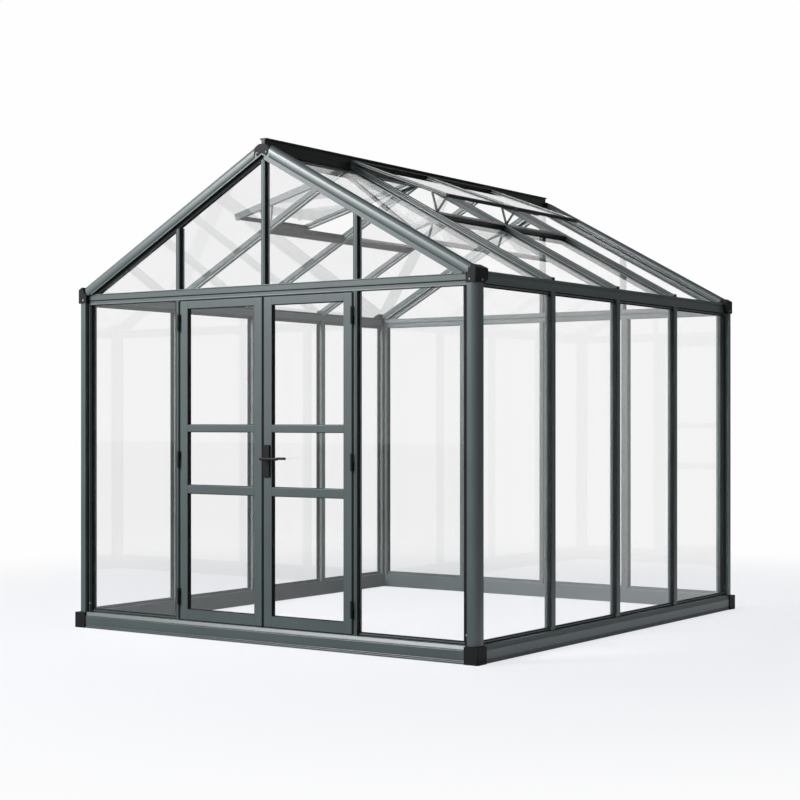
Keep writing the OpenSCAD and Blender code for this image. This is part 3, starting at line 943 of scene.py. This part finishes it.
@dataclass
class Lever:
    """Lever handle with a slim rounded grip, a boss and a spindle, in millimetres."""

    palette: Palette
    # Place of its axis, along X and Z
    axis: tuple[float, float] = (28, 965)
    # Lower and upper corners of the arm and of the raised finger end
    arm: tuple[Vector, Vector] = (Vector((12, -1477, 957)), Vector((134, -1466, 971)))
    end: tuple[Vector, Vector] = (Vector((128, -1478, 961)), Vector((186, -1466, 974)))
    rounding: float = 4
    # The radius of the boss and of the spindle, and where they start and end along Y
    boss: tuple[float, float, float] = (9, -1470, -1440.6)
    spindle: tuple[float, float, float] = (5.8, -1441, -1430)

    def add_bar(
        self, mesh: bmesh.types.BMesh, corners: tuple[Vector, Vector]
    ) -> None:
        """Add one rounded bar.

        Args:
            mesh: Mesh that gets the bar.
            corners: Its lower and upper corners.
        """
        others = set(mesh.edges)
        block(mesh, *corners)
        bmesh.ops.bevel(
            mesh,
            geom=[edge for edge in mesh.edges if edge not in others],
            offset=self.rounding * MM,
            segments=4,
            profile=0.5,
            affect="EDGES",
            material=-1,
        )

    def add_round(
        self, mesh: bmesh.types.BMesh, radius: float, start: float, end: float
    ) -> None:
        """Add a round part on the lever's axis.

        Args:
            mesh: Mesh that gets the part.
            radius: Its radius.
            start: Where it starts along Y.
            end: Where it ends along Y.
        """
        place = Vector((self.axis[0], (start + end) / 2, self.axis[1])) * MM
        bmesh.ops.create_cone(
            mesh,
            cap_ends=True,
            segments=32,
            radius1=radius * MM,
            radius2=radius * MM,
            depth=(end - start) * MM,
            matrix=facing(Vector((0, 1, 0)), place),
        )

    def build(self) -> None:
        """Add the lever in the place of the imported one."""
        mesh = bmesh.new()
        self.add_bar(mesh, self.arm)
        self.add_bar(mesh, self.end)
        self.add_round(mesh, *self.boss)
        self.add_round(mesh, *self.spindle)
        lever = finish_piece(
            "lever", mesh, self.palette.hardware_black, Body.LEVER
        )
        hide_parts("lever_handle")
        log.info("fitted the lever")


@dataclass
class DoorSeals:
    """Brush and flap seals round the two leaves, in millimetres."""

    palette: Palette
    leaf_x: tuple[float, float] = (4, 583)
    leaf_z: tuple[float, float] = (93, 1804)
    face_y: float = -1430
    back_y: float = -1398
    jamb_x: float = 588
    tie_z: float = 1811
    # Width of the flap on a face, how far the flap stands proud and the brush is sunk
    lip: float = 3.5
    step: float = 1
    sweep: float = 4
    play: float = 0.6

    def leaf(self, side: int, body: Body) -> None:
        """Add the seals along the edges of one leaf.

        Args:
            side: 1 for the right-hand leaf, -1 for the left-hand one.
            body: Body that carries them.
        """
        x0, x1 = self.leaf_x
        z0, z1 = self.leaf_z
        y0, y1 = self.face_y + self.step, self.back_y - self.step
        proud = self.face_y - self.step
        mesh = bmesh.new()
        block(mesh, (x1, y0, z0), (self.jamb_x - self.play, y1, z1))
        block(mesh, (x1 - self.lip, proud, z0), (x1, self.face_y, z1))
        block(mesh, (self.play / 2, y0, z0), (x0, y1, z1))
        block(mesh, (x0, proud, z0), (x0 + self.lip, self.face_y, z1))
        block(mesh, (x0, y0, z0 - self.sweep), (x1, y1, z0))
        if side < 0:
            bmesh.ops.scale(mesh, vec=(-1, 1, 1), verts=mesh.verts)
            bmesh.ops.reverse_faces(mesh, faces=mesh.faces)
        rubber_piece(self.palette, f"{body.value}_seals", mesh, body)

    def opening(self) -> None:
        """Add the seals along the jambs and under the tie beam."""
        z0, z1 = self.leaf_z
        y0, y1 = self.face_y + self.step, self.back_y - self.step
        mesh = bmesh.new()
        for side in (-1, 1):
            x0, x1 = sorted((side * self.jamb_x, side * (self.jamb_x + self.lip)))
            block(mesh, (x0, self.face_y - self.step, z0), (x1, self.face_y, z1))
        block(
            mesh,
            (-self.jamb_x, y0, z1 + self.play),
            (self.jamb_x, y1, self.tie_z),
        )
        rubber_piece(self.palette, "doorway_seals", mesh)

    def build(self) -> None:
        """Add every seal of the doorway."""
        self.leaf(1, Body.RIGHT_DOOR)
        self.leaf(-1, Body.LEFT_DOOR)
        self.opening()
        log.info("sealed the doors")


@dataclass
class Screws:
    """Button-head screws with a round socket, in millimetres."""

    palette: Palette
    radius: float = 5.0
    steps: int = 16
    # Half of the head's outline, as parts of its radius, from the socket to the rim
    outline: tuple[tuple[float, float], ...] = (
        (0.0, 0.2),
        (0.4, 0.2),
        (0.4, 0.5),
        (0.66, 0.46),
        (0.9, 0.3),
        (1.0, 0.1),
        (1.0, 0.0),
    )
    # Screws at the corner where X and Y are positive, in faces that look along Y and X
    end_screws: tuple[tuple[float, float, float], ...] = (
        (1299, 1451, 1838),
        (1268, 1428, 137),
    )
    side_screws: tuple[tuple[float, float, float], ...] = (
        (1343, 1404, 1836),
        (1320, 1376, 137),
    )
    ridge_screw: tuple[float, float, float] = (30, 1441, 2556)

    def head(
        self, mesh: bmesh.types.BMesh, place: Vector, direction: Vector
    ) -> None:
        """Add one screw head.

        Args:
            mesh: Mesh that gets the head.
            place: Point of the surface under its middle, in millimetres.
            direction: Direction that it looks in.
        """
        turn = facing(direction, place * MM)
        verts = [
            mesh.verts.new(turn @ (Vector((r, 0, h)) * self.radius * MM))
            for r, h in self.outline
        ]
        edges = [mesh.edges.new(pair) for pair in zip(verts, verts[1:])]
        bmesh.ops.spin(
            mesh,
            geom=verts + edges,
            cent=place * MM,
            axis=direction,
            angle=math.tau,
            steps=self.steps,
            use_merge=True,
        )

    def build(self) -> None:
        """Add the screws as one piece."""
        mesh = bmesh.new()
        for x, y in ((-1, -1), (-1, 1), (1, -1), (1, 1)):
            corner = Vector((x, y, 1))
            for place in (*self.end_screws, self.ridge_screw):
                self.head(mesh, corner * Vector(place), Vector((0, y, 0)))
            for place in self.side_screws:
                self.head(mesh, corner * Vector(place), Vector((x, 0, 0)))
        bmesh.ops.remove_doubles(mesh, verts=mesh.verts, dist=0.001 * MM)
        bmesh.ops.recalc_face_normals(mesh, faces=mesh.faces)
        finish_piece(
            "frame_screws", mesh, self.palette.zinc, Body.FRAME
        )
        log.info("added the screws")


# ---- Studio ----


@dataclass
class Studio:
    """Pale floor, white surroundings, one large soft lamp and the camera."""

    floor_half: float = 60.0
    # The floor's colours: where it is seen plain, where it takes shadows, and as it
    # lights the object from below, first in front and then beside the right-hand wall
    floor_colour: str = "#f5f6fa"
    floor_matt: str = "#e4e5e8"
    floor_bounce: tuple[str, str] = ("#606264", "#c8cacc")
    # Where the front's floor turns into the side's, along X
    bounce_x: tuple[float, float] = (1.3, 1.5)
    # Far and near end of the pale card beside the right-hand wall, along X
    card_x: tuple[float, float] = (2.6, 2.0)
    # How far out the floor starts and ends to fade into the walls, and how much of it
    # is plain white near the object and far from it
    floor_fade: tuple[float, float] = (1.8, 6.0)
    floor_plain: tuple[float, float] = (0.8, 1.0)
    wall_colour: str = "#fefefe"
    # The dim part of the room lies behind, to the right, and overhead; each range is
    # that of the direction's share over which the room turns dim
    dim_direction: tuple[float, float, float] = (0.45, 0.89, 0.0)
    dim_side: tuple[float, float] = (0.1, 0.7)
    dim_top: tuple[float, float] = (0.6, 0.9)
    # The room's light on matt surfaces and in sheen, where it is bright and dim
    soft_light: tuple[float, float] = (0.42, 0.11)
    sheen_light: tuple[float, float] = (1.0, 0.3)
    # In mirror-sharp reflections the room and floor in front are this bright, from
    # these places along Y
    front_light: float = 0.2
    front_wall: float = -0.4
    front_floor: float = -4.0
    lamp_size: float = 3.0
    lamp_power: float = 1200
    lamp_place: tuple[float, float, float] = (-4.6, -7.6, 6.0)
    lamp_direction: tuple[float, float, float] = (-0.52, -0.68, 0.5)
    camera_place: tuple[float, float, float] = (5.6805, -8.1278, 1.1667)
    camera_turn: float = 0.5922
    focal_length: float = 75.5156
    shift: tuple[float, float] = (-0.0627, 0.0248)

    def white_path(
        self, tree: bpy.types.NodeTree, depth: bpy.types.NodeSocket, front: float
    ) -> bpy.types.NodeSocket:
        """Return a socket that is 1 for rays that should see plain white.

        Args:
            tree: Node tree that gets the nodes.
            depth: Place or direction along Y of what the ray meets.
            front: Depth at which the white in the glass's reflections fades out.

        Returns:
            The socket, 0 for light that falls on the object.
        """
        path = add_node(tree, "LightPath")
        seen = add_node(
            tree,
            "Math",
            LARGER,
            {0: path.outputs["Is Camera Ray"], 1: path.outputs["Is Transmission Ray"]},
        )
        # Mirror-sharp reflections are the glass's own; what is in front is dim there
        behind = add_node(
            tree,
            "MapRange",
            inputs={
                "Value": depth,
                "From Min": front,
                "From Max": front / 2,
                "To Min": self.front_light,
                "To Max": 1.0,
            },
        )
        mirrored = add_node(
            tree,
            "Math",
            PRODUCT,
            {0: path.outputs["Is Singular Ray"], 1: behind.outputs["Result"]},
        )
        white = add_node(
            tree,
            "Math",
            LARGER,
            {0: seen.outputs["Value"], 1: mirrored.outputs["Value"]},
        )
        return white.outputs["Value"]

    def floor_finish(self) -> bpy.types.Material:
        """Make the floor's material: pale, and it keeps a faint shadow."""
        material, tree = new_material("Studio floor, matt white")
        place = add_node(tree, "TexCoord")
        axes = add_node(tree, "SeparateXYZ", inputs={"Vector": place.outputs["Object"]})
        seen = self.white_path(tree, axes.outputs["Y"], self.front_floor)
        # The floor sends less light up to the object than it shows, above all in front
        beside = add_node(
            tree,
            "MapRange",
            SMOOTH,
            {"Value": axes.outputs["X"], **span("From", self.bounce_x)},
        )
        bounce = add_node(
            tree,
            "Mix",
            MIX_COLOURS,
            {
                FACTOR: beside.outputs["Result"],
                COLOUR_A: linear(self.floor_bounce[0]),
                COLOUR_B: linear(self.floor_bounce[1]),
            },
        )
        tone = add_node(
            tree,
            "Mix",
            MIX_COLOURS,
            {
                FACTOR: seen,
                COLOUR_A: bounce.outputs[COLOUR_OUT],
                COLOUR_B: linear(self.floor_matt),
            },
        )
        matt = add_node(tree, "BsdfDiffuse", inputs={"Color": tone.outputs[COLOUR_OUT]})
        # With distance the floor fades into the walls, as on a curved backdrop
        reach = add_node(
            tree, "VectorMath", {"operation": "LENGTH"}, {0: place.outputs["Object"]}
        )
        far = add_node(
            tree,
            "MapRange",
            SMOOTH,
            {"Value": reach.outputs["Value"], **span("From", self.floor_fade)},
        )
        colour = add_node(
            tree,
            "Mix",
            MIX_COLOURS,
            {
                FACTOR: far.outputs["Result"],
                COLOUR_A: linear(self.floor_colour),
                COLOUR_B: linear(self.wall_colour),
            },
        )
        pale = add_node(tree, "Emission", inputs={"Color": colour.outputs[COLOUR_OUT]})
        steady = add_node(
            tree,
            "MapRange",
            inputs={"Value": far.outputs["Result"], **span("To", self.floor_plain)},
        )
        share = add_node(tree, "Math", PRODUCT, {0: seen, 1: steady.outputs["Result"]})
        # A pale card beside the right-hand wall lights its foot, and isn't seen itself
        card = add_node(
            tree,
            "MapRange",
            SMOOTH,
            {"Value": axes.outputs["X"], **span("From", self.card_x)},
        )
        strip = add_node(
            tree,
            "Math",
            PRODUCT,
            {0: beside.outputs["Result"], 1: card.outputs["Result"]},
        )
        unseen = add_node(tree, "Math", {"operation": "SUBTRACT"}, {0: 1.0, 1: seen})
        lit = add_node(
            tree,
            "Math",
            PRODUCT,
            {0: strip.outputs["Value"], 1: unseen.outputs["Value"]},
        )
        white = add_node(
            tree, "Math", LARGER, {0: share.outputs["Value"], 1: lit.outputs["Value"]}
        )
        mixed = add_node(
            tree,
            "MixShader",
            inputs={
                0: white.outputs["Value"],
                1: matt.outputs["BSDF"],
                2: pale.outputs["Emission"],
            },
        )
        add_node(tree, "OutputMaterial", inputs={"Surface": mixed.outputs["Shader"]})
        return material

    def floor(self) -> None:
        """Lay the floor."""
        mesh = bmesh.new()
        bmesh.ops.create_grid(mesh, x_segments=1, y_segments=1, size=self.floor_half)
        data = bpy.data.meshes.new("studio_floor")
        mesh.to_mesh(data)
        mesh.free()
        data.materials.append(self.floor_finish())
        floor = bpy.data.objects.new("studio_floor", data)
        bpy.context.scene.collection.objects.link(floor)

    def surroundings(self) -> None:
        """Make the world: white where it is seen, and dim on some sides as light."""
        world = bpy.data.worlds.new("Studio walls")
        bpy.context.scene.world = world
        world.use_nodes = True
        tree = world.node_tree
        tree.nodes.clear()
        place = add_node(tree, "TexCoord")
        axes = add_node(
            tree, "SeparateXYZ", inputs={"Vector": place.outputs["Generated"]}
        )
        behind = add_node(
            tree,
            "VectorMath",
            {"operation": "DOT_PRODUCT"},
            {0: place.outputs["Generated"], 1: self.dim_direction},
        )
        right = add_node(
            tree,
            "MapRange",
            SMOOTH,
            {"Value": behind.outputs["Value"], **span("From", self.dim_side)},
        )
        overhead = add_node(
            tree,
            "MapRange",
            SMOOTH,
            {"Value": axes.outputs["Z"], **span("From", self.dim_top)},
        )
        dim = add_node(
            tree,
            "Math",
            LARGER,
            {0: right.outputs["Result"], 1: overhead.outputs["Result"]},
        )
        soft, sheen = (
            add_node(
                tree,
                "MapRange",
                inputs={"Value": dim.outputs["Value"], **span("To", levels)},
            )
            for levels in (self.soft_light, self.sheen_light)
        )
        path = add_node(tree, "LightPath")
        light = add_node(
            tree,
            "Mix",
            MIX_FLOATS,
            {
                FACTOR: path.outputs["Is Glossy Ray"],
                FLOAT_A: soft.outputs["Result"],
                FLOAT_B: sheen.outputs["Result"],
            },
        )
        strength = add_node(
            tree,
            "Mix",
            MIX_FLOATS,
            {
                FACTOR: self.white_path(tree, axes.outputs["Y"], self.front_wall),
                FLOAT_A: light.outputs[FLOAT_OUT],
                FLOAT_B: 1.0,
            },
        )
        background = add_node(
            tree,
            "Background",
            inputs={
                "Color": linear(self.wall_colour),
                "Strength": strength.outputs[FLOAT_OUT],
            },
        )
        add_node(
            tree, "OutputWorld", inputs={"Surface": background.outputs["Background"]}
        )

    def lamp(self) -> None:
        """Hang the large soft lamp at the front left."""
        light = bpy.data.lights.new("front_softbox", "AREA")
        light.shape = "SQUARE"
        light.size = self.lamp_size
        light.energy = self.lamp_power
        softbox = bpy.data.objects.new("front_softbox", light)
        softbox.matrix_world = facing(
            Vector(self.lamp_direction), Vector(self.lamp_place)
        )
        bpy.context.scene.collection.objects.link(softbox)

    def camera(self) -> None:
        """Stand the level camera at the front right."""
        lens = bpy.data.cameras.new("camera")
        lens.sensor_width = 36.0
        lens.lens = self.focal_length
        lens.shift_x, lens.shift_y = self.shift
        stand = bpy.data.objects.new("camera", lens)
        stand.location = self.camera_place
        stand.rotation_euler = (math.pi / 2, 0.0, self.camera_turn)
        bpy.context.scene.collection.objects.link(stand)
        bpy.context.scene.camera = stand

    def build(self) -> None:
        """Set up the whole studio."""
        self.floor()
        self.surroundings()
        self.lamp()
        self.camera()
        log.info("set up the studio")


def build_seals(palette: Palette) -> None:
    """Add the seals of every pane.

    Args:
        palette: Every finish of the greenhouse.
    """
    walls = PaneSeals(palette)
    wall_panes = ("front_wall_panes", "back_wall_panes", "side_wall_panes")
    for node in (*wall_panes, "gable_panes"):
        walls.build(node)
    for node in wall_panes:
        walls.build_uprights(node)
    leaves = PaneSeals(palette, outer=10 * MM, inner=10 * MM)
    leaves.build("left_door_panes", Body.LEFT_DOOR)
    leaves.build("right_door_panes", Body.RIGHT_DOOR)
    roof = PaneSeals(palette, width=3 * MM, outer=3 * MM, inner=1 * MM)
    for node in ("roof_panes_left", "roof_panes_right", "vent_panes"):
        roof.build(node)


def main() -> None:
    """Set up the studio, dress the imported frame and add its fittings."""
    logging.basicConfig(level=logging.INFO)
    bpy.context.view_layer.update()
    bpy.context.scene.view_settings.view_transform = "Standard"
    Studio().build()
    palette = Palette()
    FramePieces(palette).build()
    build_seals(palette)
    for assembly in (
        ChannelStrips,
        BargeCovers,
        RafterStrips,
        RafterCaps,
        Lever,
        DoorSeals,
        Screws,
    ):
        assembly(palette).build()


if __name__ == "__main__":
    main()
